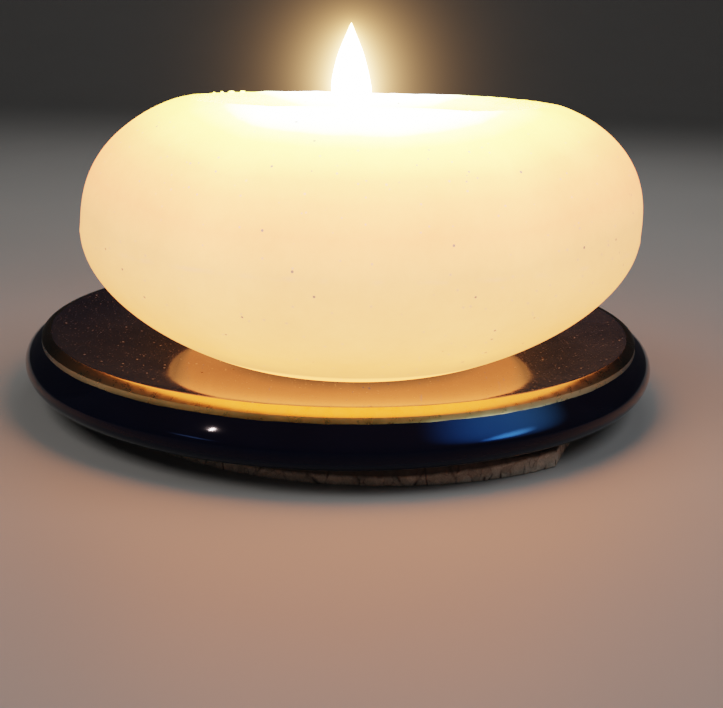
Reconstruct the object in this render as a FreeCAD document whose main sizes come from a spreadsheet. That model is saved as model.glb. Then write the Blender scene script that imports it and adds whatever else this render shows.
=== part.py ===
import FreeCAD, Part
import math
import os
from types import SimpleNamespace

import Sketcher
from FreeCAD import Vector

# A lit ball candle that stands on a round glazed dish with a cork pad under it.
# Millimetres. The origin is on the dish's axis, at the underside of the cork pad, with +Z up.
# -Y is the front: the candle stands a little forward of the dish's centre.

DIMENSIONS = {
    # Cork pad, and the adhesive between it and the dish.
    "pad_thickness": 3.0,
    "pad_radius": 48.0,
    "pad_x": 5.2,
    "pad_y": -1.7,
    "snip_from": -54.5,         # degrees round the pad where its straight snip starts
    "snip_to": 9.7,             # and where it ends
    "glue_thickness": 0.3,
    "glue_radius": 40.0,
    # Dish, with heights above its own underside.
    "dish_radius": 55.0,
    "edge_radius": 3.6,         # of the half-round outer edge
    "crest_height": 8.7,
    "crest_radius": 50.7,       # inner edge of the gilt band
    "crest_flat": 0.2,          # narrow bare land inside the band
    "floor_depth": 2.1,         # of the sunk top, below the crest
    "floor_radius": 32.0,       # of the flat part of the sunk top
    "band_width": 1.3,          # from the crest out to the half-round edge
    "band_crown": 1.8,          # radius of the band's rounded top
    "band_slope": 45.0,         # degrees up from level where that rounded top starts
    "band_thickness": 0.12,
    # Candle, with heights above its own base.
    "candle_x": 2.5,
    "candle_y": -11.0,
    "waist_radius": 45.3,
    "waist_height": 20.8,
    "belly_radius": 11.0,       # profile just below the waist
    "belly_angle": 38.4,        # degrees that it turns through
    "underside_radius": 39.3,   # flatter profile between the belly and the base
    "side_radius": 60.0,        # profile just above the waist
    "side_angle": 2.5,          # degrees that it turns through
    "crown_radius": 18.6,       # rounder profile from there to the lip
    "lip_radius": 28.2,         # where the crown meets the hollow
    "lip_round": 1.5,
    "hollow_radius": 20.0,      # floor of the burnt-down hollow
    "hollow_height": 36.4,
    "melt_height": 38.3,        # level of the molten wax
    # Wick and its clip, with heights above the candle's base.
    "wick_shift": -1.5,         # off the candle's axis, along X
    "wick_radius": 1.1,
    "wick_foot": 0.6,
    "wick_straight": 40.0,      # height at which the wick starts to bend
    "wick_bend": 6.0,           # radius of the bend
    "wick_lean": 40.0,          # degrees that it turns through
    "clip_radius": 7.0,
    "clip_thickness": 0.3,
    "neck_radius": 1.7,
    "neck_height": 6.3,
}

# Which way an arc runs round an outline.
LEFT_TURN = -1
RIGHT_TURN = 1


class Size:
    """A number together with the spreadsheet expression that drives it."""

    def __init__(self, value, text):
        self.value = value
        self.text = text

    def __add__(self, other):
        return Size(self.value + other.value, "(%s + %s)" % (self.text, other.text))

    def __sub__(self, other):
        return Size(self.value - other.value, "(%s - %s)" % (self.text, other.text))

    def __mul__(self, other):
        return Size(self.value * other.value, "(%s * %s)" % (self.text, other.text))

    def __truediv__(self, other):
        return Size(self.value / other.value, "(%s / %s)" % (self.text, other.text))


def cosine(angle):
    return Size(math.cos(math.radians(angle.value)), "cos(%s)" % angle.text)


def sine(angle):
    return Size(math.sin(math.radians(angle.value)), "sin(%s)" % angle.text)


def other_leg(hypotenuse, leg):
    """The third side of a right-angled triangle."""
    square = hypotenuse * hypotenuse - leg * leg
    return Size(math.sqrt(square.value), "sqrt(%s)" % square.text)


ZERO = Size(0.0, "0")
ONE = Size(1.0, "1")
TWO = Size(2.0, "2")

doc = FreeCAD.newDocument("ball_candle")
sheet = doc.addObject("Spreadsheet::Sheet", "Sizes")
for row, (alias, length) in enumerate(DIMENSIONS.items(), start=1):
    sheet.set("A%d" % row, alias)
    sheet.set("B%d" % row, str(length))
    sheet.setAlias("B%d" % row, alias)
doc.recompute()
s = SimpleNamespace(**{alias: Size(float(sheet.get(alias)), "Sizes." + alias) for alias in DIMENSIONS})

dish_z = s.pad_thickness + s.glue_thickness
candle_z = dish_z + s.crest_height - s.floor_depth
wick_x = s.candle_x + s.wick_shift


# Building blocks

def place(piece, x=ZERO, y=ZERO, z=ZERO):
    for axis, distance in zip("xyz", (x, y, z)):
        piece.setExpression(".Placement.Base." + axis, distance.text)


def new_body(label):
    body = doc.addObject("PartDesign::Body", label)
    body.Label = label
    return body


def new_sketch(body, role, name):
    sketch = body.newObject("Sketcher::SketchObject", body.Name + "_" + name)
    plane = next(plane for plane in body.Origin.OriginFeatures if plane.Role == role)
    sketch.AttachmentSupport = [(plane, "")]
    sketch.MapMode = "FlatFace"
    return sketch


def bind(sketch, kind, places, target):
    """A sketch constraint whose value follows the spreadsheet."""
    index = sketch.addConstraint(Sketcher.Constraint(kind, *places, target.value))
    sketch.setExpression("Constraints[%d]" % index, target.text)


def hold_point(sketch, edge, vertex, across, up):
    """Holds one end of an edge at a place in the sketch."""
    for kind, axis, distance in (("DistanceX", -2, across), ("DistanceY", -1, up)):
        if distance is ZERO:
            sketch.addConstraint(Sketcher.Constraint("PointOnObject", edge, vertex, axis))
        else:
            bind(sketch, kind, (-1, 1, edge, vertex), distance)


def arc_edge(start, end, radius, turn):
    """The short arc between two points. A sketch keeps every arc counter-clockwise."""
    chord = end - start
    left = Vector(-chord.y, chord.x, 0).normalize()
    depth = math.sqrt(radius * radius - (chord.Length / 2) ** 2)
    centre = (start + end) / 2 - left * depth * turn
    first, last = (end, start) if turn == RIGHT_TURN else (start, end)
    angles = [math.atan2(point.y - centre.y, point.x - centre.x) for point in (first, last)]
    if angles[1] < angles[0]:
        angles[1] += 2 * math.pi
    return Part.ArcOfCircle(Part.Circle(centre, Vector(0, 0, 1), radius), *angles)


def draw(sketch, corners, closed=True):
    """Lines and arcs from corner to corner. A corner is (across, up), and one that an arc leads
    on from is (across, up, radius, turn)."""
    points = [Vector(corner[0].value, corner[1].value, 0) for corner in corners]
    count = len(corners) if closed else len(corners) - 1
    ends = []
    for index in range(count):
        corner = corners[index]
        following = (index + 1) % len(corners)
        is_arc = len(corner) == 4
        if is_arc:
            shape = arc_edge(points[index], points[following], corner[2].value, corner[3])
        else:
            shape = Part.LineSegment(points[index], points[following])
        edge = sketch.addGeometry(shape)
        start = 2 if is_arc and corner[3] == RIGHT_TURN else 1
        ends.append((edge, start, 3 - start))
        hold_point(sketch, edge, start, corner[0], corner[1])
        if is_arc:
            bind(sketch, "Radius", (edge,), corner[2])
    for index in range(count if closed else count - 1):
        edge, _, finish = ends[index]
        next_edge, next_start, _ = ends[(index + 1) % count]
        sketch.addConstraint(Sketcher.Constraint("Coincident", edge, finish, next_edge, next_start))
    if not closed:
        edge, _, finish = ends[-1]
        hold_point(sketch, edge, finish, corners[-1][0], corners[-1][1])


def draw_circle(sketch, radius, across=ZERO):
    centre = Vector(across.value, 0, 0)
    circle = sketch.addGeometry(Part.Circle(centre, Vector(0, 0, 1), radius.value))
    hold_point(sketch, circle, 3, across, ZERO)
    bind(sketch, "Radius", (circle,), radius)


def turn_profile(body, corners):
    """Turns an outline in the XZ plane about the body's own Z axis."""
    sketch = new_sketch(body, "XZ_Plane", "profile")
    draw(sketch, corners)
    turned = body.newObject("PartDesign::Revolution", body.Name + "_turned")
    turned.Profile = sketch
    turned.ReferenceAxis = (sketch, ["V_Axis"])
    turned.Angle = 360
    doc.recompute()
    return turned


def pocket_up(body, name, radius, across, depth=None):
    """A round pocket that rises from the body's XY plane, right through when it has no depth."""
    before = body.Shape.Volume
    sketch = new_sketch(body, "XY_Plane", name)
    draw_circle(sketch, radius, across)
    pocket = body.newObject("PartDesign::Pocket", body.Name + "_" + name + "_pocket")
    pocket.Profile = sketch
    pocket.Reversed = True
    if depth is None:
        pocket.Type = "ThroughAll"
    else:
        pocket.setExpression("Length", depth.text)
    doc.recompute()
    if not body.Shape.Volume < before:
        raise ValueError("the %s pocket in %s cuts nothing" % (name, body.Label))


def round_edge(body, radius_of_edge, height, fillet_radius):
    """Rounds the circular edge with this radius and height."""
    base = body.Tip
    names = ["Edge%d" % number for number, edge in enumerate(base.Shape.Edges, start=1)
             if isinstance(edge.Curve, Part.Circle)
             and abs(edge.Curve.Radius - radius_of_edge.value) < 0.01
             and abs(edge.Curve.Center.z - height.value) < 0.01]
    fillet = body.newObject("PartDesign::Fillet", body.Name + "_round")
    fillet.Base = (base, names)
    fillet.setExpression("Radius", fillet_radius.text)
    doc.recompute()


# Cork pad: cut from sheet by hand, round but for one straight snip at the front right.

def make_cork_pad():
    body = new_body("cork_pad")
    place(body, s.pad_x, s.pad_y)
    radius = s.pad_radius
    sketch = new_sketch(body, "XY_Plane", "outline")
    draw(sketch, [
        (radius * cosine(s.snip_to), radius * sine(s.snip_to), radius, LEFT_TURN),
        (ZERO, radius, radius, LEFT_TURN),
        (ZERO - radius, ZERO, radius, LEFT_TURN),
        (ZERO, ZERO - radius, radius, LEFT_TURN),
        (radius * cosine(s.snip_from), radius * sine(s.snip_from)),
    ])
    pad = body.newObject("PartDesign::Pad", "cork_pad_sheet")
    pad.Profile = sketch
    pad.setExpression("Length", s.pad_thickness.text)
    return body


def make_glue_film():
    film = doc.addObject("Part::Cylinder", "glue_film")
    film.Label = "glue_film"
    film.setExpression("Radius", s.glue_radius.text)
    film.setExpression("Height", s.glue_thickness.text)
    place(film, s.pad_x, s.pad_y, s.pad_thickness)
    return film


# Dish and gilt band. The band lies on the step between the sunk top and the half-round edge.

def edge_height(radius):
    """Height of the half-round edge's upper half at a radius."""
    return s.edge_radius + other_leg(s.edge_radius, radius - (s.dish_radius - s.edge_radius))


def step_face(inset):
    """Corners of the step from its foot up to the crest, moved in and down by an inset."""
    foot_radius = s.crest_radius + s.band_width
    crown_centre = s.crest_height - s.band_crown
    foot = (foot_radius - inset, edge_height(foot_radius) - inset)
    crown = (s.crest_radius + s.band_crown * cosine(s.band_slope) - inset,
             crown_centre + s.band_crown * sine(s.band_slope) - inset, s.band_crown, LEFT_TURN)
    crest = (s.crest_radius - inset, s.crest_height - inset)
    return foot, crown, crest


def make_dish():
    body = new_body("dish")
    place(body, z=dish_z)
    floor_height = s.crest_height - s.floor_depth
    crest_inner = s.crest_radius - s.crest_flat
    sweep = crest_inner - s.floor_radius
    sweep_radius = (sweep * sweep + s.floor_depth * s.floor_depth) / (TWO * s.floor_depth)
    outer_foot, _, outer_crest = step_face(ZERO)
    turn_profile(body, [
        (ZERO, ZERO),
        (s.dish_radius - s.edge_radius, ZERO, s.edge_radius, LEFT_TURN),
        (s.dish_radius, s.edge_radius, s.edge_radius, LEFT_TURN),
        outer_foot,
        *step_face(s.band_thickness),
        outer_crest,
        (crest_inner, s.crest_height, sweep_radius, RIGHT_TURN),
        (s.floor_radius, floor_height),
        (ZERO, floor_height),
    ])
    return body


def make_gilt_band():
    body = new_body("gilt_band")
    place(body, z=dish_z)
    inner_foot, inner_crown, inner_crest = step_face(s.band_thickness)
    outer_foot, outer_crown, outer_crest = step_face(ZERO)
    turn_profile(body, [
        outer_foot,
        outer_crown,
        outer_crest,
        (*inner_crest, s.band_crown, RIGHT_TURN),
        inner_crown[:2],
        inner_foot,
    ])
    return body


# Candle: a squashed ball of wax with a flat base and a hollow where it has burnt down.

def make_candle_body():
    body = new_body("candle_body")
    place(body, s.candle_x, s.candle_y, candle_z)
    belly_centre = s.waist_radius - s.belly_radius
    under_extra = s.underside_radius - s.belly_radius
    under_x = belly_centre - under_extra * cosine(s.belly_angle)
    under_z = s.waist_height + under_extra * sine(s.belly_angle)
    side_centre = s.waist_radius - s.side_radius
    crown_less = s.side_radius - s.crown_radius
    crown_x = side_centre + crown_less * cosine(s.side_angle)
    crown_z = s.waist_height + crown_less * sine(s.side_angle)
    lip_height = crown_z + other_leg(s.crown_radius, s.lip_radius - crown_x)
    turn_profile(body, [
        (ZERO, ZERO),
        (under_x + other_leg(s.underside_radius, under_z), ZERO, s.underside_radius, LEFT_TURN),
        (belly_centre + s.belly_radius * cosine(s.belly_angle),
         s.waist_height - s.belly_radius * sine(s.belly_angle), s.belly_radius, LEFT_TURN),
        (s.waist_radius, s.waist_height, s.side_radius, LEFT_TURN),
        (side_centre + s.side_radius * cosine(s.side_angle),
         s.waist_height + s.side_radius * sine(s.side_angle), s.crown_radius, LEFT_TURN),
        (s.lip_radius, lip_height),
        (s.hollow_radius, s.hollow_height),
        (ZERO, s.hollow_height),
    ])
    round_edge(body, s.lip_radius, lip_height, s.lip_round)
    pocket_up(body, "clip", s.clip_radius, s.wick_shift, s.clip_thickness)
    pocket_up(body, "neck", s.neck_radius, s.wick_shift, s.neck_height)
    pocket_up(body, "channel", s.wick_radius, s.wick_shift)
    return body, lip_height


def make_melt_pool(lip_height):
    """Molten wax that fills the foot of the hollow up to its level."""
    body = new_body("melt_pool")
    place(body, s.candle_x, s.candle_y, candle_z)
    wall_rise = (s.melt_height - s.hollow_height) / (lip_height - s.hollow_height)
    level_radius = s.hollow_radius + (s.lip_radius - s.hollow_radius) * wall_rise
    turn_profile(body, [
        (ZERO, s.hollow_height),
        (s.hollow_radius, s.hollow_height),
        (level_radius, s.melt_height),
        (ZERO, s.melt_height),
    ])
    pocket_up(body, "channel", s.wick_radius, s.wick_shift)
    return body


# Wick: straight through the wax, then bent over where it burns.

def make_wick():
    body = new_body("wick")
    place(body, wick_x, s.candle_y, candle_z)
    path = new_sketch(body, "XZ_Plane", "path")
    draw(path, [
        (ZERO, s.wick_foot),
        (ZERO, s.wick_straight, s.wick_bend, RIGHT_TURN),
        (s.wick_bend * (ONE - cosine(s.wick_lean)), s.wick_straight + s.wick_bend * sine(s.wick_lean)),
    ], closed=False)
    section = new_sketch(body, "XY_Plane", "section")
    section.setExpression(".AttachmentOffset.Base.z", s.wick_foot.text)
    draw_circle(section, s.wick_radius)
    doc.recompute()
    pipe = body.newObject("PartDesign::AdditivePipe", "wick_cord")
    pipe.Profile = section
    pipe.Spine = (path, ["Edge1", "Edge2"])
    return body


def make_wick_clip():
    """Sheet metal disc with a neck that is crimped round the foot of the wick."""
    body = new_body("wick_clip")
    place(body, wick_x, s.candle_y, candle_z)
    turn_profile(body, [
        (ZERO, ZERO),
        (s.clip_radius, ZERO),
        (s.clip_radius, s.clip_thickness),
        (s.neck_radius, s.clip_thickness),
        (s.neck_radius, s.neck_height),
        (s.wick_radius, s.neck_height),
        (s.wick_radius, s.wick_foot),
        (ZERO, s.wick_foot),
    ])
    return body


candle_body, candle_lip_height = make_candle_body()
pieces = [
    make_cork_pad(),
    make_glue_film(),
    make_dish(),
    make_gilt_band(),
    candle_body,
    make_melt_pool(candle_lip_height),
    make_wick(),
    make_wick_clip(),
]
doc.recompute()

for item in doc.Objects:
    if "Invalid" in item.State or "Error" in item.State:
        raise ValueError("%s did not recompute: %s" % (item.Label, item.State))

os.makedirs("parts", exist_ok=True)
for piece in pieces:
    shape = piece.Shape
    if shape.isNull() or not shape.isValid() or len(shape.Solids) != 1:
        raise ValueError("%s is not one sound solid" % piece.Label)
    shape.exportStep("parts/%s.step" % piece.Label)
    box = shape.optimalBoundingBox()
    print("%-12s volume %9.1f  x %7.2f %7.2f  y %7.2f %7.2f  z %6.2f %6.2f" % (
        piece.Label, shape.Volume, box.XMin, box.XMax, box.YMin, box.YMax, box.ZMin, box.ZMax))
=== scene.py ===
import math

import bpy
import numpy as np
from mathutils import Matrix, Vector, noise


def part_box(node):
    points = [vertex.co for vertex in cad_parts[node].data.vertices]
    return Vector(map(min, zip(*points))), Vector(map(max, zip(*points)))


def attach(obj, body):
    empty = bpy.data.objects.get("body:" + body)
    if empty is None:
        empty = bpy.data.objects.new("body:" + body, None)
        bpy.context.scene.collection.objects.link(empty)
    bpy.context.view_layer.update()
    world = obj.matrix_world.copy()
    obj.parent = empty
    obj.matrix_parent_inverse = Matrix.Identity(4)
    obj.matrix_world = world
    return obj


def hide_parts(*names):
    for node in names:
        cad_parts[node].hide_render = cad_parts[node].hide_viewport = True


# A lit ball candle on a round dish with a dark blue glaze, a gilt band and a cork pad under it.
# Shapes are written in millimetres and turned into metres when a mesh is made.

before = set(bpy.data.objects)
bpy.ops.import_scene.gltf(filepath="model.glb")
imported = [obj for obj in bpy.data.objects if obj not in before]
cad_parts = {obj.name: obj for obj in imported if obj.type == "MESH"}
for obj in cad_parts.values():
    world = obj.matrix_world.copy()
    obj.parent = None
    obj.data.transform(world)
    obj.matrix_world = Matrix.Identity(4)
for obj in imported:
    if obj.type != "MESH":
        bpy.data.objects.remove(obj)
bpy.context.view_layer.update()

MM = 0.001


def box_mm(node):
    """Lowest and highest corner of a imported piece's box, in millimetres."""
    low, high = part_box(node)
    return np.array(low) / MM, np.array(high) / MM


# ---------------------------------------------------------------------------
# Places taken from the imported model, in millimetres.

dish_low, dish_high = box_mm("dish")
candle_low, candle_high = box_mm("candle_body")
pad_low, pad_high = box_mm("cork_pad")
wick_low, wick_high = box_mm("wick")
pool_low, pool_high = box_mm("melt_pool")

DISH_Z = dish_low[2]
DISH_R = (dish_high[0] - dish_low[0]) / 2
CANDLE_X = (candle_low[0] + candle_high[0]) / 2
CANDLE_Y = (candle_low[1] + candle_high[1]) / 2
CANDLE_Z = candle_low[2]
WAIST_R = (candle_high[0] - candle_low[0]) / 2
WICK_R = (wick_high[1] - wick_low[1]) / 2
WICK_X = wick_low[0] + WICK_R
WICK_Y = (wick_low[1] + wick_high[1]) / 2
HOLLOW_R = (pool_high[0] - pool_low[0]) / 2
HOLLOW_Z = pool_low[2] - CANDLE_Z
LEVEL_Z = pool_high[2] - CANDLE_Z       # of the molten wax
LEAN = 0.063                    # the wax leans this much towards +X for each unit of height
FOOT_X = CANDLE_X - 0.5         # so that the leaning wax keeps to the middle of its place


# ---------------------------------------------------------------------------
# Sizes of the candle, in millimetres above its foot and out from its axis.

BASE_R = 21.0                   # of the flat foot
WAIST_Z = 20.8                  # height of the widest place, where the mould's seam runs
SHOULDER_R = 29.8               # where the outer face meets the flat shoulder
SHOULDER_Z = 41.0
LIP_R = 26.5                    # top of the hollow's wall
LIP_Z = 40.1
GAP = 0.02                      # small clearance, also kept inside the cork's outline
POOL_WALL_R = 21.6              # where the hollow's wall meets its floor
POOL_WALL_Z = 37.3

WICK_STRAIGHT = 39.4            # length before the wick bends
WICK_BEND_R = 6.0
WICK_BEND = 40                  # degrees
WICK_LENGTH = WICK_STRAIGHT + WICK_BEND_R * math.radians(WICK_BEND)

FLAME_FOOT = 48.35              # above the floor
FLAME_TIP = 62.9
FLAME_WIDTHS = [                # (height above the floor, width)
    (FLAME_FOOT, 0.0), (48.5, 1.9), (48.9, 3.5), (49.6, 4.9), (50.5, 6.0),
    (51.6, 6.5), (53.2, 6.4), (54.4, 6.0), (55.6, 5.5), (57.1, 4.7),
    (58.4, 3.9), (60.2, 2.4), (61.2, 1.5), (62.2, 0.7), (FLAME_TIP, 0.0),
]

FLAKES = [                      # (angle in degrees, length, height, distance out, height of its middle)
    (148, 1.6, 0.5, 29.0, 41.1), (153, 0.9, 0.45, 29.0, 41.1),
    (142, 1.3, 0.45, 29.0, 41.1), (158, 0.7, 0.4, 29.0, 41.1),
    (8, 2.2, 0.35, 36.8, 38.1), (52, 0.6, 0.3, 29.0, 41.0),
    (206, 0.8, 0.35, 29.0, 41.0), (-62, 0.6, 0.25, 29.0, 41.0),
]


# ---------------------------------------------------------------------------
# Sizes of the dish and the cork pad, in millimetres.

EDGE_R = 3.6                    # of the dish's round edge
CREST_R = 50.7                  # crest of the step that carries the band
CREST_Z = 8.7
BAND_W = 1.3
BAND_FOOT_R = CREST_R + BAND_W
SHOULDER_FOOT_R = BAND_FOOT_R + 0.12    # where the round edge ends, under the band's foot
CROWN_R = 1.8                   # of the rounding at the crest
BAND_SLOPE = 45.0               # at the band's foot, in degrees
FILM = 0.12                     # thickness of the gold lustre
LAND = 0.2                      # flat ledge inside the crest
TOP_FLAT_R = 32.0               # of the flat middle of the sunk top
TOP_DROP = 2.1
SHOULDER_SLOPE = 45.0           # of the flatter shoulder at the front, in degrees
WIDER = 0.18                    # how much broader the band is at the front, as a share
CHAMFER_R = 4.59                # of the band's flatter section at the front
CHAMFER_START = 1.57            # how far out on that section's arc the crest lies
CHAMFER_DROP = 4.31             # what puts the crest at the right height

PAD_X = 5.2                     # the hand-cut pad isn't quite in the middle
PAD_Y = -1.7
PAD_R = 48.0
SNIP = (-54.5, 9.7)             # the straight cut runs from here to here, in degrees


# ---------------------------------------------------------------------------
# Mesh tools.

def wave(x, y, z, scale, seed=0.0):
    """Smooth noise from -1 to 1 whose features are about scale across."""
    return noise.noise(Vector((x / scale + seed, y / scale - seed, z / scale + 2 * seed)))


def step(low, high, value):
    """Smooth step from 0 at low to 1 at high; low may be the larger of the two."""
    t = min(max((value - low) / (high - low), 0.0), 1.0)
    return t * t * (3 - 2 * t)


def arc(cx, cz, radius, start, end, count):
    """Points along an arc in the (radius, height) plane; angles in degrees from +r towards +z."""
    return [(cx + radius * math.cos(math.radians(a)), cz + radius * math.sin(math.radians(a)))
            for a in np.linspace(start, end, count)]


def make_object(name, verts, faces, material, sharp=40):
    """Smooth-shaded object from points in millimetres, creased at edges sharper than sharp degrees."""
    mesh = bpy.data.meshes.new(name)
    mesh.from_pydata([(x * MM, y * MM, z * MM) for x, y, z in verts], [], faces)
    mesh.validate()
    mesh.update()
    mesh.shade_smooth()
    mesh.set_sharp_from_angle(angle=math.radians(sharp))
    mesh.materials.append(material)
    piece = bpy.data.objects.new(name, mesh)
    bpy.context.scene.collection.objects.link(piece)
    return piece


def loop_faces(lower, upper, count):
    """Faces between two loops of count points, from the numbers of their first points."""
    return [(lower + k, lower + (k + 1) % count, upper + (k + 1) % count, upper + k)
            for k in range(count)]


def cap_faces(low, high, last, count):
    """Fans from the end points low and high to the first loop and to the loop that starts at last."""
    faces = []
    for k in range(count):
        n = (k + 1) % count
        faces.append((low, n, k))
        faces.append((high, last + k, last + n))
    return faces


def lathe(profile, segments, shape):
    """Turns a profile that runs from the axis, out, up and back to the axis; shape places each point."""
    verts = [shape(radius, 2 * math.pi * k / segments, height)
             for radius, height in profile[1:-1] for k in range(segments)]
    rings = len(profile) - 2
    faces = []
    for j in range(rings - 1):
        faces += loop_faces(j * segments, (j + 1) * segments, segments)
    low = len(verts)
    verts.append(shape(0.0, 0.0, profile[0][1]))
    verts.append(shape(0.0, 0.0, profile[-1][1]))
    faces += cap_faces(low, low + 1, (rings - 1) * segments, segments)
    return verts, faces


def ring_lathe(profile, segments, shape):
    """Turns a closed profile that doesn't touch the axis."""
    count = len(profile)
    verts = [shape(radius, 2 * math.pi * k / segments, height)
             for radius, height in profile for k in range(segments)]
    faces = []
    for j in range(count):
        faces += loop_faces(j * segments, (j + 1) % count * segments, segments)
    return verts, faces


# ---------------------------------------------------------------------------
# Material tools.

class Look:
    """A node material under construction."""

    def __init__(self, name):
        self.material = bpy.data.materials.new(name)
        self.material.use_nodes = True
        self.tree = self.material.node_tree
        self.shader = next(n for n in self.tree.nodes if n.type == "BSDF_PRINCIPLED")
        self.coords = self.node("ShaderNodeTexCoord").outputs["Object"]

    def node(self, kind, **settings):
        n = self.tree.nodes.new(kind)
        for key, value in settings.items():
            setattr(n, key, value)
        return n

    def put(self, socket, value):
        """Link a node's output to a socket, or give the socket a plain value."""
        if isinstance(value, bpy.types.NodeSocket):
            self.tree.links.new(value, socket)
        else:
            socket.default_value = value

    def set(self, **values):
        """Fill the shader's sockets; an underscore stands for a space in a socket's name."""
        for key, value in values.items():
            self.put(self.shader.inputs[key.replace("_", " ")], value)

    def math(self, operation, a, b=0.0):
        n = self.node("ShaderNodeMath", operation=operation)
        self.put(n.inputs[0], a)
        self.put(n.inputs[1], b)
        return n.outputs[0]

    def times(self, a, b):
        return self.math("MULTIPLY", a, b)

    def plus(self, a, b):
        return self.math("ADD", a, b)

    def minus(self, a, b):
        return self.math("SUBTRACT", a, b)

    def larger(self, a, b):
        return self.math("MAXIMUM", a, b)

    def vector(self, operation, a, b):
        n = self.node("ShaderNodeVectorMath", operation=operation)
        self.put(n.inputs[0], a)
        self.put(n.inputs[1], b)
        return n.outputs[0]

    def axis(self, which, source=None):
        n = self.node("ShaderNodeSeparateXYZ")
        self.put(n.inputs[0], source or self.coords)
        return n.outputs[which]

    def axis_mm(self, which):
        """Place along an axis of the object, in millimetres."""
        return self.math("DIVIDE", self.axis(which), MM)

    def distance(self, a, b):
        """Length of the flat vector (a, b)."""
        return self.math("SQRT", self.plus(self.times(a, a), self.times(b, b)))

    def noise(self, size, detail=3.0, rough=0.5, distortion=0.0):
        """Noise around 0.5 whose largest features are about size millimetres across."""
        n = self.node("ShaderNodeTexNoise")
        self.put(n.inputs["Vector"], self.coords)
        self.put(n.inputs["Scale"], 1 / (size * MM))
        self.put(n.inputs["Detail"], detail)
        self.put(n.inputs["Roughness"], rough)
        self.put(n.inputs["Distortion"], distortion)
        return n.outputs["Fac"]

    def cells(self, size, feature="F1", source=None):
        """Voronoi cells about size millimetres across."""
        n = self.node("ShaderNodeTexVoronoi", feature=feature)
        self.put(n.inputs["Vector"], source or self.coords)
        self.put(n.inputs["Scale"], 1 / (size * MM))
        self.put(n.inputs["Randomness"], 1.0)
        return n

    def ramp(self, value, *stops):
        """Colour ramp; each stop is (position, colour or grey)."""
        n = self.node("ShaderNodeValToRGB")
        elements = n.color_ramp.elements
        for i, (place, colour) in enumerate(stops):
            item = elements[i] if i < 2 else elements.new(place)
            item.position = place
            colour = (colour,) * 3 if isinstance(colour, (int, float)) else colour
            item.color = (*colour, 1.0)
        self.put(n.inputs[0], value)
        return n.outputs[0]

    def span(self, value, low, high, to_low=0.0, to_high=1.0):
        """Maps low..high to to_low..to_high and holds the ends; low may be the larger of the two."""
        n = self.node("ShaderNodeMapRange")
        for key, v in zip(("Value", "From Min", "From Max", "To Min", "To Max"),
                          (value, low, high, to_low, to_high)):
            self.put(n.inputs[key], v)
        return n.outputs[0]

    def spread(self, cloud, to_low, to_high):
        """Maps the middle of a noise, 0.3 to 0.7, to another range."""
        return self.span(cloud, 0.3, 0.7, to_low, to_high)

    def mix(self, share, a, b):
        """Colour a where share is 0 and b where it is 1."""
        n = self.node("ShaderNodeMix", data_type="RGBA")
        self.put(n.inputs[0], share)
        for socket, value in ((n.inputs[6], a), (n.inputs[7], b)):
            self.put(socket, (*value, 1.0) if isinstance(value, tuple) else value)
        return n.outputs[2]

    def specks(self, size, radius, share):
        """1 inside scattered round specks and 0 elsewhere; share is how many cells hold one."""
        n = self.cells(size)
        near = self.math("LESS_THAN", n.outputs["Distance"], radius / size)
        pick = self.math("LESS_THAN", self.axis(0, n.outputs["Color"]), share)
        return self.times(near, pick)

    def bump(self, *layers):
        """layers are (height, depth in mm), the finest last."""
        normal = None
        for height, depth in layers:
            n = self.node("ShaderNodeBump")
            n.inputs["Strength"].default_value = 1.0
            n.inputs["Distance"].default_value = depth * MM
            self.put(n.inputs["Height"], height)
            if normal is not None:
                self.put(n.inputs["Normal"], normal)
            normal = n.outputs[0]
        self.put(self.shader.inputs["Normal"], normal)


# ---------------------------------------------------------------------------
# Materials.

# Painted glow of the wax: height above the candle's foot in mm, colour, strength.
GLOW_PEAK = 16.0                # strongest of them, as a radiance
WAX_GLOW = [
    (0.0, (1.0, 0.28, 0.060), 3.0),
    (0.8, (1.0, 0.20, 0.040), 8.5),
    (2.2, (1.0, 0.20, 0.040), 8.5),
    (3.2, (1.0, 0.30, 0.070), 3.2),
    (6.5, (1.0, 0.27, 0.058), 4.3),
    (13.0, (1.0, 0.30, 0.078), 3.9),
    (20.8, (1.0, 0.29, 0.085), 4.2),
    (26.0, (1.0, 0.20, 0.058), 6.8),
    (30.2, (1.0, 0.21, 0.052), 8.8),
    (33.0, (1.0, 0.28, 0.055), 9.8),
    (35.2, (1.0, 0.44, 0.058), 12.2),
    (37.2, (1.0, 0.66, 0.062), 13.5),
    (38.9, (1.0, 0.88, 0.12), 14.5),
    (39.8, (1.0, 0.98, 0.62), 15.5),
    (40.5, (0.95, 1.0, 0.95), 16.0),
]


def glow_by_height(look, height, rows, top):
    """Colour and strength ramps over a height in mm, from rows of (height, colour, strength)."""
    place = look.span(height, 0.0, top)
    colour = look.ramp(place, *[(h / top, c) for h, c, _ in rows])
    strength = look.ramp(place, *[(h / top, s / GLOW_PEAK) for h, _, s in rows])
    return colour, look.times(strength, GLOW_PEAK)


def wax_marks(look, height):
    """1 on the specks of soot and grit in the wax, and less on the broken seam round its waist."""
    waist = look.math("ABSOLUTE", look.minus(height, WAIST_Z))
    seam = look.span(waist, 0.12, 0.45, 1.0, 0.0)
    seam = look.times(seam, look.span(look.noise(3.5, 3.0), 0.50, 0.66))
    crowd = look.span(look.noise(14.0, 2.0), 0.48, 0.66)
    dots = look.specks(3.0, 0.21, 0.35)
    fine = look.times(look.specks(1.3, 0.17, 0.40), look.times(crowd, 0.9))
    faint = look.times(look.specks(1.0, 0.14, 0.12), 0.55)
    dark = look.larger(look.larger(dots, fine), faint)
    return look.larger(dark, look.times(seam, 0.09))


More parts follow.
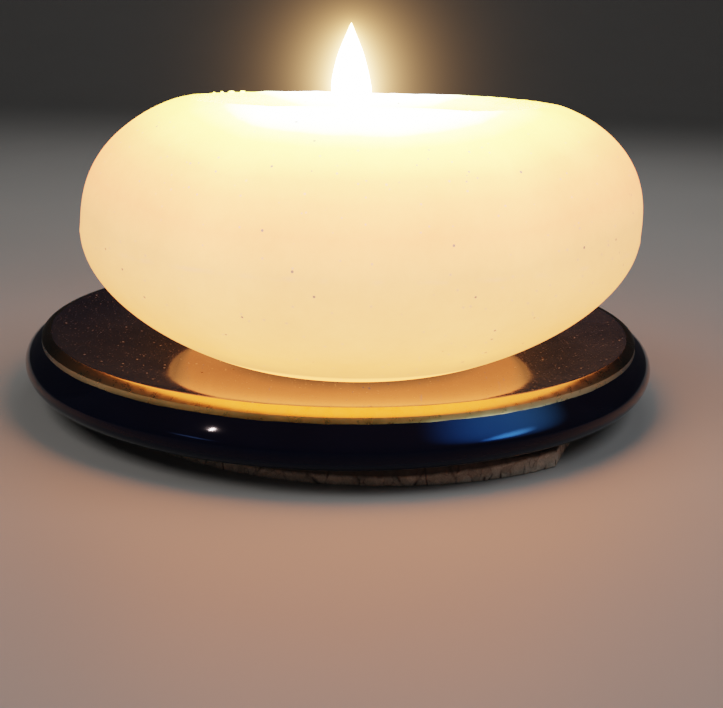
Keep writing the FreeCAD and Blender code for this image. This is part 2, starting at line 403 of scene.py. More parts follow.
def wax_glow(look, height, cloud):
    """Colour and strength of the glow painted on the wax, in place of the flame's light through it.
    The painted glow is dimmer at the candle's two sides, and on the side that is further from the wick."""
    axis_x = look.span(height, 0.0, SHOULDER_Z, float(FOOT_X), float(FOOT_X + SHOULDER_Z * LEAN))
    across = look.minus(look.axis_mm(0), axis_x)
    away = look.distance(across, look.minus(look.axis_mm(1), float(CANDLE_Y)))
    side = look.math("DIVIDE", look.math("ABSOLUTE", across), look.larger(away, 1.0))
    side = look.times(look.span(side, 0.45, 1.0), look.span(away, 18.0, 30.0))
    side = look.times(side, look.span(height, 4.0, 11.0, 0.35, 1.0))
    far = look.span(across, 0.0, 16.0)
    near = look.span(look.math("ABSOLUTE", look.plus(across, 1.0)), 16.0, 5.0)
    place = look.plus(height, look.spread(cloud, -0.15, 0.15))
    place = look.minus(place, look.times(side, 4.5))
    place = look.minus(place, look.times(far, 0.7))
    place = look.plus(place, look.times(near, look.span(height, 34.0, 39.0, 0.0, 0.9)))
    place = look.larger(place, look.math("MINIMUM", height, 4.0))
    colour, strength = glow_by_height(look, place, WAX_GLOW, SHOULDER_Z)
    return colour, look.times(strength, look.span(side, 0.0, 1.0, 1.0, 0.68))


def wax_look():
    look = Look("lit_wax")
    height = look.minus(look.axis_mm(2), float(CANDLE_Z))
    cloud = look.noise(11.0, 3.0, 0.55)
    grain = look.noise(1.4, 4.0, 0.6)
    colour, strength = wax_glow(look, height, cloud)
    strength = look.times(strength, look.spread(cloud, 0.95, 1.05))
    strength = look.times(strength, look.spread(grain, 0.975, 1.025))
    dark = wax_marks(look, height)
    strength = look.times(strength, look.span(dark, 0.0, 1.0, 1.0, 0.22))
    colour = look.mix(look.times(dark, 0.7), colour, (0.62, 0.52, 0.42))
    base = look.mix(cloud, (0.80, 0.62, 0.42), (0.88, 0.72, 0.50))
    base = look.mix(dark, base, (0.30, 0.17, 0.08))
    look.set(Base_Color=base, Roughness=look.spread(grain, 0.42, 0.56),
             Emission_Color=colour, Emission_Strength=strength)
    look.shader.inputs["IOR"].default_value = 1.44
    look.shader.inputs["Specular IOR Level"].default_value = 0.35
    pits = look.specks(3.4, 0.25, 0.2)
    look.bump((cloud, 0.25), (grain, 0.05), (look.times(pits, -1.0), 0.05))
    return look.material


POOL_GLOW_R = 26.0              # how far from the wick the pool's light falls off, in mm


# The molten wax has a painted glow, brightest round the wick, in place of the flame's light falling on
# it.
def pool_look():
    look = Look("molten_wax")
    x = look.minus(look.axis(0), float(WICK_X * MM))
    y = look.minus(look.axis(1), float(WICK_Y * MM))
    away = look.math("DIVIDE", look.distance(x, y), MM)
    place = look.span(away, 0.0, POOL_GLOW_R)
    swirl = look.noise(6.0, 2.0, 0.5, 0.6)
    colour = look.ramp(place, (0.0, (1.0, 0.97, 0.88)), (0.55, (0.97, 1.0, 0.90)),
                       (1.0, (0.95, 1.0, 0.85)))
    strength = look.ramp(place, (0.0, 1.0), (0.5, 0.95), (1.0, 0.86))
    strength = look.times(strength, look.spread(swirl, 15.0, 17.0))
    look.set(Base_Color=look.mix(swirl, (0.95, 0.82, 0.55), (0.98, 0.88, 0.64)),
             Roughness=look.spread(swirl, 0.03, 0.07),
             Emission_Color=colour, Emission_Strength=strength)
    look.bump((swirl, 0.05))
    return look.material


EMBER_LIGHT = 9.0               # radiance at the wick's glowing tip
FLAME_LIGHT = 46.0              # radiance of the flame


def wick_look():
    look = Look("charred_wick")
    z = look.axis_mm(2)
    fibre = look.noise(0.5, 4.0, 0.6)
    char = look.span(look.plus(z, look.span(fibre, 0.0, 1.0, -0.5, 0.5)),
                     float(pool_high[2]), float(pool_high[2] + 1.2))
    base = look.mix(char, look.mix(fibre, (0.45, 0.33, 0.20), (0.70, 0.58, 0.40)),
                    look.mix(fibre, (0.010, 0.008, 0.007), (0.05, 0.042, 0.038)))
    ember = look.span(z, float(wick_high[2] - 2.4), float(wick_high[2] - 0.4))
    glow = look.times(look.times(ember, look.span(fibre, 0.42, 0.6)), EMBER_LIGHT)
    look.set(Base_Color=base, Roughness=look.spread(fibre, 0.75, 0.95),
             Emission_Color=look.ramp(fibre, (0.4, (1.0, 0.12, 0.01)), (0.6, (1.0, 0.32, 0.05))),
             Emission_Strength=glow)
    look.bump((fibre, 0.12))
    return look.material


def flame_look():
    look = Look("flame")
    z = look.axis_mm(2)
    flow = look.noise(2.5, 2.0)
    z = look.plus(z, look.span(flow, 0.0, 1.0, -0.3, 0.3))
    place = look.span(z, FLAME_FOOT - 0.25, FLAME_TIP + 0.3)
    colour = look.ramp(place, (0.0, (0.16, 0.34, 1.0)), (0.10, (0.9, 0.55, 0.35)),
                       (0.22, (1.0, 0.86, 0.62)), (0.75, (1.0, 0.84, 0.55)), (1.0, (1.0, 0.62, 0.22)))
    strength = look.ramp(place, (0.0, 0.05), (0.12, 0.35), (0.24, 1.0), (0.8, 1.0), (1.0, 0.62))
    look.set(Base_Color=(1.0, 0.85, 0.6, 1.0), Roughness=0.9, Emission_Color=colour,
             Emission_Strength=look.times(strength, FLAME_LIGHT))
    look.shader.inputs["Specular IOR Level"].default_value = 0.0
    return look.material


def glaze_look(name, dusty, ior, tint):
    """Deep blue gloss glaze. The sunk top is filmed with dust (dusty is 1) and the round edge is clean
    (dusty is 0)."""
    look = Look(name)
    pool = look.noise(9.0, 3.0, 0.5)
    mist = look.noise(7.0, 5.0, 0.6)
    base = look.mix(pool, (0.0025, 0.0035, 0.010), (0.004, 0.006, 0.020))
    grit = look.specks(1.6, 0.17, 0.25)
    grit = look.larger(grit, look.times(look.specks(0.9, 0.12, 0.35), 0.6))
    grit = look.larger(grit, look.times(look.specks(0.5, 0.10, 0.40), 0.25))
    grit = look.times(grit, 0.6 * dusty)
    # The pale film on the sunk top is thicker towards +X, so that side is lighter.
    share = look.span(look.axis(0), -0.05, 0.05, 0.060 * dusty, 0.130 * dusty)
    share = look.times(share, look.span(mist, 0.3, 0.8, 0.6, 1.3))
    base = look.mix(share, base, (0.12, 0.18, 0.30))
    base = look.mix(grit, base, (0.34, 0.36, 0.42))
    dirt = look.times(look.specks(4.2, 0.22, 0.30), dusty)
    base = look.mix(dirt, base, (0.045, 0.030, 0.018))
    rough = look.span(mist, 0.35, 0.75, 0.05, 0.06 + 0.03 * dusty)
    rough = look.larger(rough, look.times(look.larger(grit, dirt), 0.6))
    look.set(Base_Color=base, Roughness=rough)
    look.shader.inputs["IOR"].default_value = ior
    look.shader.inputs["Specular Tint"].default_value = (*tint, 1.0)
    look.bump((pool, 0.02), (grit, 0.02))
    return look.material


def gilt_look():
    look = Look("gold_lustre")
    brush = look.noise(1.6, 4.0, 0.6)
    wear = look.noise(4.5, 5.0, 0.7)
    base = look.mix(look.spread(brush, 0.0, 1.0), (0.92, 0.50, 0.12), (1.0, 0.62, 0.20))
    # Painted reflection and shade: the gold is made paler away from the front, and dark round the sides
    # and back.
    base = look.mix(look.span(look.axis(1), -0.052, -0.038, 0.0, 0.6), base, (0.74, 0.58, 0.38))
    painted_side_shade = look.span(look.axis(1), -0.040, -0.024)
    base = look.mix(look.times(painted_side_shade, 0.95), base, (0.045, 0.038, 0.031))
    thin = look.span(wear, 0.66, 0.72)
    base = look.mix(thin, base, (0.10, 0.06, 0.03))
    look.set(Base_Color=base, Metallic=look.span(thin, 0.0, 1.0, 1.0, 0.4),
             Roughness=look.spread(brush, 0.24, 0.36))
    look.bump((brush, 0.012))
    return look.material


def cork_look():
    look = Look("cork")
    stretch = look.vector("MULTIPLY", look.coords, (1.0, 1.0, 0.8))
    grains = look.cells(1.1, source=stretch)
    edges = look.cells(1.1, feature="DISTANCE_TO_EDGE", source=stretch)
    shade = look.axis(0, grains.outputs["Color"])
    fine = look.noise(0.3, 4.0, 0.65)
    patch = look.noise(2.2, 3.0, 0.6)
    base = look.ramp(shade, (0.0, (0.38, 0.31, 0.25)), (0.12, (0.52, 0.45, 0.37)),
                     (0.6, (0.64, 0.56, 0.47)), (1.0, (0.76, 0.68, 0.58)))
    base = look.mix(look.span(patch, 0.35, 0.65, 0.0, 0.7), base, (0.58, 0.50, 0.42))
    base = look.mix(look.span(fine, 0.35, 0.62), look.mix(0.35, base, (0.14, 0.10, 0.075)), base)
    crack = look.span(edges.outputs["Distance"], 0.0, 0.06, 1.0, 0.0)
    crack = look.times(crack, look.span(patch, 0.50, 0.62))
    tall = look.vector("MULTIPLY", look.coords, (1.0, 1.0, 0.3))
    split = look.cells(3.6, feature="DISTANCE_TO_EDGE", source=tall)
    split = look.span(split.outputs["Distance"], 0.0, 0.05, 1.0, 0.0)
    split = look.times(split, look.span(look.noise(3.0, 2.0), 0.42, 0.56))
    crack = look.larger(look.times(crack, 0.6), split)
    base = look.mix(look.times(crack, 0.85), base, (0.030, 0.018, 0.013))
    # Painted shade under the dish's overhang: the cork's top is darkened, reaching lower towards the
    # middle and left.
    middle = look.span(look.axis(0), 0.035, 0.010, 0.0, 0.0012)
    painted_under_dish_shade = look.span(look.plus(look.axis(2), middle), 0.0024, 0.0029)
    base = look.mix(look.times(painted_under_dish_shade, 0.93), base, (0.035, 0.026, 0.021))
    look.set(Base_Color=base, Roughness=look.spread(fine, 0.80, 0.95))
    look.shader.inputs["Specular IOR Level"].default_value = 0.25
    look.bump((look.times(crack, -1.0), 0.18), (fine, 0.08))
    return look.material


def glue_look():
    look = Look("dried_glue")
    cloud = look.noise(4.0, 3.0)
    look.set(Base_Color=look.mix(cloud, (0.16, 0.11, 0.05), (0.26, 0.19, 0.10)),
             Roughness=look.spread(cloud, 0.35, 0.6))
    look.bump((cloud, 0.08))
    return look.material


def steel_look():
    look = Look("tinned_steel")
    scratch = look.noise(0.8, 5.0, 0.7, 1.5)
    look.set(Base_Color=look.mix(scratch, (0.42, 0.41, 0.40), (0.66, 0.65, 0.63)), Metallic=1.0,
             Roughness=look.spread(scratch, 0.25, 0.45))
    look.bump((scratch, 0.02))
    return look.material


def floor_look():
    look = Look("pale_floor")
    cloud = look.noise(60.0, 3.0)
    look.set(Base_Color=look.mix(cloud, (0.50, 0.49, 0.475), (0.54, 0.53, 0.515)),
             Roughness=look.spread(cloud, 0.50, 0.60))
    look.shader.inputs["Specular IOR Level"].default_value = 0.3
    return look.material


# ---------------------------------------------------------------------------
# Candle.

def lean_point(x, y, height):
    """A point of the candle, from its place on the leaning axis."""
    return FOOT_X + x + LEAN * height, CANDLE_Y + y, CANDLE_Z + height


def wax_outer():
    """Outer face of the wax: a rounded waist between a narrow foot and a flat shoulder."""
    points = []
    for t in np.linspace(90, 0, 62):
        c, s = math.cos(math.radians(t)), math.sin(math.radians(t))
        points.append((BASE_R + (WAIST_R - BASE_R) * max(c, 0) ** (2 / 1.26),
                       GAP + (WAIST_Z - GAP) * (1 - s ** (2 / 1.86))))
    for t in np.linspace(0, 90, 70)[1:]:
        c, s = math.cos(math.radians(t)), math.sin(math.radians(t))
        points.append((SHOULDER_R + (WAIST_R - SHOULDER_R) * max(c, 0) ** (2 / 1.33),
                       WAIST_Z + (SHOULDER_Z - WAIST_Z) * s ** (2 / 2.68)))
    return points


def wax_profile():
    """Outline of the wax, from the middle of its foot, up its outer face and down into the hollow."""
    points = [(r, GAP) for r in (0.0, 7.0, 14.0, 19.0)] + wax_outer()
    points += [(29.4, 41.04), (28.9, 41.04), (28.3, 40.95), (27.7, 40.75), (27.1, 40.45)]
    points.append((LIP_R, LIP_Z))
    for t in np.linspace(0, 1, 12)[1:]:
        sag = 0.25 * math.sin(math.pi * t)
        points.append((LIP_R + (HOLLOW_R - LIP_R) * t, LIP_Z + (LEVEL_Z - LIP_Z) * t - sag))
    points.append((POOL_WALL_R, POOL_WALL_Z))
    points += [(r, HOLLOW_Z) for r in (20.0, 13.0, 6.0, 0.0)]
    return points


def wax_shape(radius, angle, height):
    """Slow unevenness of the moulded ball, a broken seam at its widest, pits and an uneven lip."""
    x, y = math.cos(angle), math.sin(angle)
    swell = 0.10 * wave(x, y, height / 30, 0.9, 3.1)
    swell *= step(2.0, 12.0, height) * step(8.0, 28.0, radius)
    seam = 0.10 * math.exp(-((height - WAIST_Z) / 0.35) ** 2) * (0.6 + 0.9 * wave(x, y, 0, 0.16, 7.7))
    pits = -0.05 * max(0.0, wave(radius * x, radius * y, height, 2.4, 1.3) - 0.35)
    grow = swell + (max(seam, 0.0) + pits if radius > HOLLOW_R + 1 else 0.0)
    lip = step(36.5, SHOULDER_Z, height) * step(HOLLOW_R + 0.5, 28.5, radius)
    rise = lip * (0.16 * wave(x, y, 0, 0.33, 5.2) + 0.09 * wave(x, y, 0, 0.07, 9.4))
    return lean_point((radius + grow) * x, (radius + grow) * y, height + rise)


def pool_profile():
    """The pool of molten wax; it creeps a little way up the hollow's wall."""
    wall = HOLLOW_R + 0.05
    bottom = HOLLOW_Z + GAP
    points = [(r, bottom) for r in (0.0, 8.0, 15.0, 19.9)]
    points.append((POOL_WALL_R - 0.1, POOL_WALL_Z))
    creep = ((0.75, 0.42), (0.35, 0.24), (-0.1, 0.12), (-0.7, 0.04), (-1.6, 0.0))
    points += [(wall + out, LEVEL_Z + up) for out, up in creep]
    points += [(r, LEVEL_Z) for r in (18.5, 15.0, 11.5, 8.0, 4.0, 0.0)]
    return points


def pool_shape(radius, angle, height):
    """The leaning pool, drawn up where it wets the wick."""
    x, y, z = lean_point(radius * math.cos(angle), radius * math.sin(angle), height)
    away = math.hypot(x - WICK_X, y - WICK_Y)
    if height > LEVEL_Z - 0.01:
        z += 0.45 * math.exp(-max(away - WICK_R, 0.0) / 0.8)
    return x, y, z


def wick_centre(length):
    """Point and direction on the wick's line, at a length from its foot."""
    foot = wick_low[2]
    if length <= WICK_STRAIGHT:
        return np.array((WICK_X, WICK_Y, foot + length)), np.array((0.0, 0.0, 1.0))
    a = (length - WICK_STRAIGHT) / WICK_BEND_R
    return (np.array((WICK_X + WICK_BEND_R * (1 - math.cos(a)), WICK_Y,
                      foot + WICK_STRAIGHT + WICK_BEND_R * math.sin(a))),
            np.array((math.sin(a), 0.0, math.cos(a))))


def strand_loop(length, number, around):
    """Points round one of the three plaited strands, at a length from the wick's foot. The burnt end
    is thicker, and tapers at its tip."""
    strand, pitch = 0.56, 5.5
    centre, along = wick_centre(length)
    side = np.array((0.0, 1.0, 0.0))
    across = np.cross(along, side)
    turn = 2 * math.pi * (length / pitch + number / 3)
    burnt = step(WICK_LENGTH - 5.0, WICK_LENGTH, length)
    middle = centre + (0.50 + 0.06 * burnt) * (math.cos(turn) * side + math.sin(turn) * across)
    points = []
    for k in range(around):
        a = 2 * math.pi * k / around
        r = strand * (1 + 0.16 * burnt) + 0.10 * wave(*(middle + k), 0.8, number + 2.0)
        r *= 1 - 0.55 * step(WICK_LENGTH - 0.5, WICK_LENGTH, length)
        points.append(tuple(middle + r * (math.cos(a) * side + math.sin(a) * across)))
    return points


def tube_faces(start, steps, around):
    """Faces between steps + 1 loops of around points, the first of which is number start."""
    return [(start + i * around + k, start + (i + 1) * around + k,
             start + (i + 1) * around + (k + 1) % around, start + i * around + (k + 1) % around)
            for i in range(steps) for k in range(around)]


def make_wick(material):
    """Three plaited strands with a crust of carbon at the tip."""
    steps, around = 150, 12
    verts, faces = [], []
    for number in range(3):
        start = len(verts)
        for i in range(steps + 1):
            verts += strand_loop(WICK_LENGTH * i / steps, number, around)
        faces += tube_faces(start, steps, around)
        faces.append(tuple(start + k for k in range(around)))
        faces.append(tuple(start + steps * around + k for k in reversed(range(around))))
    return make_object("wick_plait", verts, faces, material, 60)


def flame_profile():
    """The flame's half width by height, with its corners smoothed."""
    z, w = np.array(FLAME_WIDTHS).T
    belly = 3.4
    fine_z = np.concatenate([FLAME_FOOT + belly * (1 - np.cos(np.linspace(0, math.pi / 2, 16))),
                             np.linspace(FLAME_FOOT + belly, FLAME_TIP, 44)[1:]])
    profile = [(float(np.interp(h, z, w)) / 2, float(h)) for h in fine_z]
    smooth = [profile[0]]
    for a, b, c in zip(profile, profile[1:], profile[2:]):
        smooth.append(((a[0] + 2 * b[0] + c[0]) / 4, b[1]))
    smooth.append(profile[-1])
    return smooth


def flame_shape(radius, angle, height):
    """The flame stands round the wick's tip, and its foot drifts towards the bend."""
    drift = 0.5 * math.exp(-max(height - 50.0, 0.0) / 3.0)
    return (WICK_X + 0.15 + drift + radius * math.cos(angle),
            WICK_Y + 0.92 * radius * math.sin(angle), height)


def flake_point(flake, number, lat, lon):
    """A point of a flake, which is a rough flat ball turned to lie along the lip."""
    degrees, size, tall, away, high = flake
    a = math.radians(degrees)
    x, y, z = math.cos(lon) * math.sin(lat), math.sin(lon) * math.sin(lat), math.cos(lat)
    n = 1 + 0.45 * wave(x, y, z, 0.7, number * 1.7)
    along = size * 0.5 * n * math.cos(lon) * math.sin(lat)
    r = away + size * 0.22 * n * math.sin(lon) * math.sin(lat)
    return lean_point(r * math.cos(a) - along * math.sin(a), r * math.sin(a) + along * math.cos(a),
                      high + tall * 0.5 * n * z)


def make_flakes(material):
    """Small shavings of wax that stand on the lip."""
    rows, columns = 7, 10
    verts, faces = [], []
    for number, flake in enumerate(FLAKES):
        start = len(verts)
        verts += [flake_point(flake, number, math.pi * i / rows, 2 * math.pi * k / columns)
                  for i in range(rows + 1) for k in range(columns)]
        faces += tube_faces(start, rows, columns)
    return make_object("lip_flakes", verts, faces, material, 60)


# ---------------------------------------------------------------------------
# Dish.

def edge_height(radius):
    """Height of the upper half of the round edge."""
    return EDGE_R + math.sqrt(EDGE_R ** 2 - (radius - (DISH_R - EDGE_R)) ** 2)


def step_points(inset, count):
    """Outer face and rounded crown of the step that carries the band, from its foot to its crest."""
    foot = (BAND_FOOT_R - inset, edge_height(BAND_FOOT_R) - inset)
    crown = arc(CREST_R - inset, CREST_Z - CROWN_R - inset, CROWN_R, BAND_SLOPE, 90, count)
    return [foot] + crown


def flat_shoulder(radius, height):
    """Where a point of the round shoulder goes when the shoulder is flatter towards the band's foot."""
    foot_r = SHOULDER_FOOT_R
    foot_z = edge_height(foot_r)
    corner_z = foot_z - (DISH_R - foot_r) * math.tan(math.radians(SHOULDER_SLOPE))
    middle = DISH_R - EDGE_R
    t = math.atan2(height - EDGE_R, radius - middle) / math.atan2(foot_z - EDGE_R, foot_r - middle)
    turn = 2 * t * (1 - t)
    return (DISH_R * ((1 - t) ** 2 + turn) + foot_r * t ** 2,
            EDGE_R * (1 - t) ** 2 + corner_z * turn + foot_z * t ** 2)


def dish_profile():
    """Outline of the dish: flat underside, round edge, the step for the band, then the sunk top."""
    points = [(r, 0.0) for r in (0.0, 15.0, 30.0, 43.0, 49.5)]
    middle = DISH_R - EDGE_R
    points += arc(middle, EDGE_R, EDGE_R, -90, 0, 26)
    stop = math.degrees(math.acos((SHOULDER_FOOT_R - middle) / EDGE_R))
    points += arc(middle, EDGE_R, EDGE_R, 0, stop, 24)[1:]
    points += step_points(FILM, 12)
    inner = CREST_R - LAND
    points += [(CREST_R - 0.05, CREST_Z), (inner + 0.1, CREST_Z - 0.01)]
    sweep = inner - TOP_FLAT_R
    radius = (sweep ** 2 + TOP_DROP ** 2) / (2 * TOP_DROP)
    low = CREST_Z - TOP_DROP
    for t in np.linspace(1, 0, 30):
        x = sweep * t
        points.append((TOP_FLAT_R + x, low + radius - math.sqrt(radius ** 2 - x ** 2)))
    points += [(r, low) for r in (27.0, 21.0, 15.0, 9.0, 4.0, 0.0)]
    return points


def at_front(y):
    """1 round the front of the dish, 0 round its back; y is the sine of the place's angle."""
    return step(0.05, 0.50, -y)


def front_form(radius, height, y):
    """Shifts out and down of a point on the band; at the front it is broader and more like a chamfer."""
    front = at_front(y)
    out = min(max(radius - CREST_R, 0.0), BAND_W)
    down = 0.0
    if height > CREST_Z - 0.8:
        round_drop = CROWN_R - math.sqrt(CROWN_R ** 2 - out ** 2)
        along = CHAMFER_START + (1 + WIDER) * out
        down = CHAMFER_DROP - math.sqrt(CHAMFER_R ** 2 - along ** 2) - round_drop
    return WIDER * out * front, down * front


def dish_shape(radius, angle, height):
    """The front's form, and the slow ripples of a hand-glazed edge."""
    x, y = math.cos(angle), math.sin(angle)
    if height > EDGE_R and CREST_R - 1.0 < radius < BAND_FOOT_R + 0.05:
        out, down = front_form(radius, height, y)
        radius += out
        height -= down
    elif height > EDGE_R and radius > BAND_FOOT_R + 0.05:
        flat_r, flat_z = flat_shoulder(radius, height)
        share = step(0.30, 0.75, -y)
        radius += share * (flat_r - radius)
        height += share * (flat_z - height)
    ripple = 0.05 * wave(radius * x, radius * y, height, 14.0, 2.2)
    grow = ripple * step(50.0, 54.0, radius) * step(0.3, 2.0, height)
    return (radius + grow) * x, (radius + grow) * y, DISH_Z + height


def band_profile():
    """Closed section of the gold film: its outer face, its edge at the crest and its inner face."""
    low = BAND_FOOT_R + 0.14
    foot = [(low, edge_height(low) - 0.05), (low - 0.03, edge_height(low - 0.03) + 0.03),
            (BAND_FOOT_R + 0.03, edge_height(BAND_FOOT_R) + 0.10)]
    crest = [(CREST_R - 0.12, CREST_Z + 0.005), (CREST_R - FILM, CREST_Z - FILM)]
    return foot + step_points(0.0, 12)[1:] + crest + step_points(FILM, 12)[::-1][1:]


def band_shape(radius, angle, height):
    """The front's form, and the unsteady line of a band painted by hand."""
    x, y = math.cos(angle), math.sin(angle)
    hand = 0.10 * wave(x, y, 0, 0.10, 4.4) + 0.05 * wave(x, y, 0, 0.03, 8.1)
    inner_edge = step(CREST_R + 0.35, CREST_R - 0.1, radius) * step(CREST_Z - 0.4, CREST_Z - 0.1, height)
    low_edge = step(BAND_FOOT_R - 0.1, BAND_FOOT_R + 0.1, radius) * step(7.4, 7.2, height)
    out, down = front_form(radius, height, y)
    r = radius + hand * inner_edge + 0.5 * hand * low_edge + out
    return r * x, r * y, DISH_Z + height - down - 0.30 * low_edge * at_front(y)


# ---------------------------------------------------------------------------
# Cork pad.

def pad_edge(angle):
    """Distance from the pad's centre to its outline, with one straight snip."""
    a, b = (math.radians(v) for v in SNIP)
    middle = (a + b) / 2
    chord = PAD_R * math.cos((b - a) / 2)
    off = (angle - middle + math.pi) % (2 * math.pi) - math.pi
    if abs(off) < (b - a) / 2:
        return chord / math.cos(off)
    return PAD_R


def pad_point(angle, inset, level, thick):
    """A point of the pad, inset from its outline, at a level from 0 (underside) to 1 (top)."""
    edge = pad_edge(angle)
    r = edge * (1 - inset / PAD_R)
    x, y, z = r * math.cos(angle), r * math.sin(angle), thick * level
    if inset == 0.0:
        # Crushed granules at the cut edge: some stand out and some have dropped off.
        near = noise.voronoi(Vector((x / 1.5, y / 1.5, z / 1.5)))[0]
        grain = min(near[1] - near[0], 0.6)
        bite = max(0.0, wave(x, y, z, 1.9, 6.0) - 0.25)
        r += -0.12 + 0.22 * grain - 0.8 * bite + 0.10 * wave(x, y, z, 0.5, 2.0)
        r -= 0.10 * abs(2 * level - 1) ** 4
        r = min(r, edge - GAP)
        x, y = r * math.cos(angle), r * math.sin(angle)
    elif inset < 40:
        dip = 0.10 * max(0.0, wave(x, y, 0.0, 1.6, 3.0 + level))
        z += dip if level < 0.5 else -dip
    return PAD_X + x, PAD_Y + y, z


def make_cork(material):
    thick = pad_high[2] - pad_low[2]
    segments, rows = 1100, 14
    insets = [46.0, 38.0, 24.0, 12.0, 5.0, 2.5, 1.2, 0.5]
    loops = [(inset, 0.0) for inset in insets]
    loops += [(0.0, level) for level in np.linspace(0.04, 0.96, rows)]
    loops += [(inset, 1.0) for inset in reversed(insets)]
    verts = [pad_point(2 * math.pi * k / segments, inset, level, thick)
             for inset, level in loops for k in range(segments)]
    faces = []
    for j in range(len(loops) - 1):
        faces += loop_faces(j * segments, (j + 1) * segments, segments)
    low = len(verts)
    verts += [(PAD_X, PAD_Y, 0.0), (PAD_X, PAD_Y, thick)]
    faces += cap_faces(low, low + 1, (len(loops) - 1) * segments, segments)
    return make_object("cork_sheet", verts, faces, material, 70)


# ---------------------------------------------------------------------------
# Build the object.

def add(piece, body, slot, *nodes):
    """Put a piece on its moving body, and hide the CAD nodes it stands for; slot is not used."""
    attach(piece, body)
    if nodes:
        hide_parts(*nodes)


def build_candle():
    wax = wax_look()
    ball = make_object("wax_ball", *lathe(wax_profile(), 420, wax_shape), wax, 50)
    add(ball, "candle", "wax", "candle_body")
    surface = make_object("melt_surface", *lathe(pool_profile(), 160, pool_shape), pool_look())
    add(surface, "candle", "molten_wax", "melt_pool")
    add(make_wick(wick_look()), "candle", "wick_cotton", "wick")
    flame = make_object("flame", *lathe(flame_profile(), 48, flame_shape), flame_look())
    add(flame, "candle", None)
    add(make_flakes(wax), "candle", "wax")


def glaze_rim(dish):
    """Give the round edge and the underside the dish's second material, the clean glaze."""
    for polygon in dish.data.polygons:
        radius = math.hypot(*polygon.center[:2]) / MM
        height = polygon.center[2] / MM - DISH_Z
        if radius > CREST_R + BAND_W / 2 or height < 0.1:
            polygon.material_index = 1


def build_dish():
    top = glaze_look("cobalt_glaze_top", 1.0, 1.112, (0.50, 0.78, 1.0))
    dish = make_object("glazed_dish", *lathe(dish_profile(), 480, dish_shape), top, 28)
    dish.data.materials.append(glaze_look("cobalt_glaze_rim", 0.0, 1.26, (0.10, 0.30, 1.0)))
    glaze_rim(dish)
    add(dish, "dish_base", "glaze", "dish")
    band = make_object("gold_band", *ring_lathe(band_profile(), 720, band_shape), gilt_look(), 32)
    add(band, "dish_base", "gilt", "gilt_band")
    add(make_cork(cork_look()), "dish_base", "cork", "cork_pad")


def paint_cad_pieces():
    """The film of glue and the wick's clip stay as the CAD has them, with a better material."""
    for node, material in (("glue_film", glue_look()), ("wick_clip", steel_look())):
        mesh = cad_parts[node].data
        mesh.materials.clear()
        mesh.materials.append(material)


build_candle()
build_dish()
paint_cad_pieces()


# ---------------------------------------------------------------------------
# Floor, lights and camera.

def make_floor():
    """Floor that sweeps up far behind the dish; distances in millimetres."""
    flat, sweep = 800, 600
    path = [(y, 0.0) for y in (-4000, -1500, -700, -350, -150, 0, 150, 350, 600, flat)]
    path += [(flat + sweep * math.sin(a), sweep - sweep * math.cos(a))
             for a in np.linspace(0, math.pi / 2, 25)[1:]]
    path += [(flat + sweep, z) for z in (1000, 1800, 2600)]
    widths = (-4000, -1200, -600, -300, -150, 0, 150, 300, 600, 1200, 4000)
    verts = [(x, y, z) for y, z in path for x in widths]
    count = len(widths)
    faces = [(j * count + k, j * count + k + 1, (j + 1) * count + k + 1, (j + 1) * count + k)
             for j in range(len(path) - 1) for k in range(count - 1)]
    make_object("floor", verts, faces, floor_look())


def fade_edges(data):
    """Let a rectangular light fade from its middle to its edges."""
    data.use_nodes = True
    nodes, links = data.node_tree.nodes, data.node_tree.links
    place = nodes.new("ShaderNodeNewGeometry")
    offset = nodes.new("ShaderNodeVectorMath")
    offset.operation = "DISTANCE"
    offset.inputs[1].default_value = (0.5, 0.5, 0.0)
    fade = nodes.new("ShaderNodeMapRange")
    fade.interpolation_type = "SMOOTHSTEP"
    for value, socket in zip((0.05, 0.5, 1.0, 0.0), fade.inputs[1:5]):
        socket.default_value = value
    links.new(place.outputs["Parametric"], offset.inputs[0])
    links.new(offset.outputs["Value"], fade.inputs[0])
    links.new(fade.outputs[0], next(n for n in nodes if n.type == "EMISSION").inputs["Strength"])


def add_light(name, place, size, power, colour, only=None):
    """A rectangular light aimed at the dish: a soft light on the matt surfaces, or one that only the
    named glossy piece mirrors."""
    data = bpy.data.lights.new(name, "AREA")
    data.shape = "RECTANGLE"
    data.size, data.size_y = size
    data.energy = power
    data.color = colour
    lamp = bpy.data.objects.new(name, data)
    lamp.location = place
    lamp.rotation_euler = (Vector((0, 0, 0.02)) - Vector(place)).to_track_quat("-Z", "Y").to_euler()
    lamp.visible_glossy = only is not None
    lamp.visible_diffuse = only is None
    bpy.context.scene.collection.objects.link(lamp)
    if only:
        fade_edges(data)
        group = bpy.data.collections.new(name)
        group.objects.link(bpy.data.objects[only])
        lamp.light_linking.receiver_collection = group


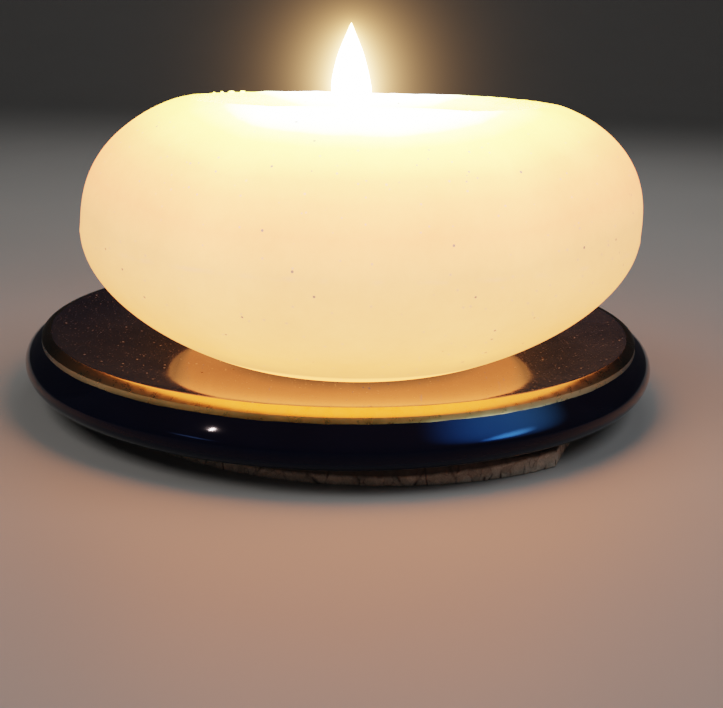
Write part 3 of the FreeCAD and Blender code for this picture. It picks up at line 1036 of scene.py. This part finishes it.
def add_lights():
    """Three soft lights on the matt surfaces, then the room that the dish and the band mirror."""
    warm, sky = (1.0, 0.9, 0.8), (0.25, 0.75, 1.0)
    add_light("key", (-0.26, -0.22, 0.42), (0.26, 0.26), 0.50, (1.0, 0.97, 0.93))
    add_light("fill", (0.30, -0.10, 0.40), (0.26, 0.26), 0.40, (0.93, 0.96, 1.0))
    add_light("back", (0.05, 0.34, 0.40), (0.30, 0.20), 0.28, (1.0, 0.98, 0.95))
    dish, band = "glazed_dish", "gold_band"
    add_light("left_glint", (-0.325, -0.228, 0.482), (0.014, 0.030), 8.0, (1.0, 0.35, 0.12), dish)
    add_light("left_streak", (-0.40, -0.31, 0.36), (0.21, 0.05), 0.18, warm, dish)
    add_light("right_window", (0.46, -0.187, 0.396), (0.26, 0.10), 3.0, (0.30, 0.75, 1.0), dish)
    add_light("right_wall", (0.50, -0.14, 0.576), (0.75, 0.60), 11.0, sky, dish)
    add_light("band_window", (0.56, -0.32, 0.25), (0.90, 0.45), 5.1, (0.45, 0.70, 1.0), band)


def add_glow():
    """The lens glow round the flame."""
    scene = bpy.context.scene
    scene.use_nodes = True
    tree = scene.node_tree
    tree.nodes.clear()
    layers = tree.nodes.new("CompositorNodeRLayers")
    glare = tree.nodes.new("CompositorNodeGlare")
    glare.glare_type = "FOG_GLOW"
    glare.quality = "HIGH"
    glare.inputs["Threshold"].default_value = 18.0
    glare.inputs["Strength"].default_value = 1.2
    glare.inputs["Tint"].default_value = (1.0, 0.60, 0.33, 1.0)
    glare.inputs["Size"].default_value = 0.92
    output = tree.nodes.new("CompositorNodeComposite")
    tree.links.new(layers.outputs["Image"], glare.inputs["Image"])
    tree.links.new(glare.outputs["Image"], output.inputs["Image"])


def set_world():
    """Faint, even light from all round."""
    world = bpy.data.worlds.new("studio")
    bpy.context.scene.world = world
    world.use_nodes = True
    background = next(n for n in world.node_tree.nodes if n.type == "BACKGROUND")
    background.inputs["Color"].default_value = (0.95, 0.97, 1.0, 1.0)
    background.inputs["Strength"].default_value = 0.035


CAMERA_PLACE = (0.00397, -0.18862, 0.0595)
CAMERA_PITCH = 0.2810           # how far it looks down, in radians
CAMERA_ROLL = 0.0231


def add_camera():
    data = bpy.data.cameras.new("camera")
    data.sensor_fit = "HORIZONTAL"
    data.sensor_width = 36.0
    data.lens = 53.32
    data.clip_start = 0.01
    data.clip_end = 20.0
    camera = bpy.data.objects.new("camera", data)
    turn = Matrix.Rotation(math.pi / 2 - CAMERA_PITCH, 4, "X") @ Matrix.Rotation(CAMERA_ROLL, 4, "Z")
    camera.matrix_world = Matrix.Translation(CAMERA_PLACE) @ turn
    bpy.context.scene.collection.objects.link(camera)
    bpy.context.scene.camera = camera


make_floor()
add_lights()
set_world()
add_camera()
add_glow()
bpy.context.scene.view_settings.view_transform = "Filmic"

bpy.context.view_layer.update()
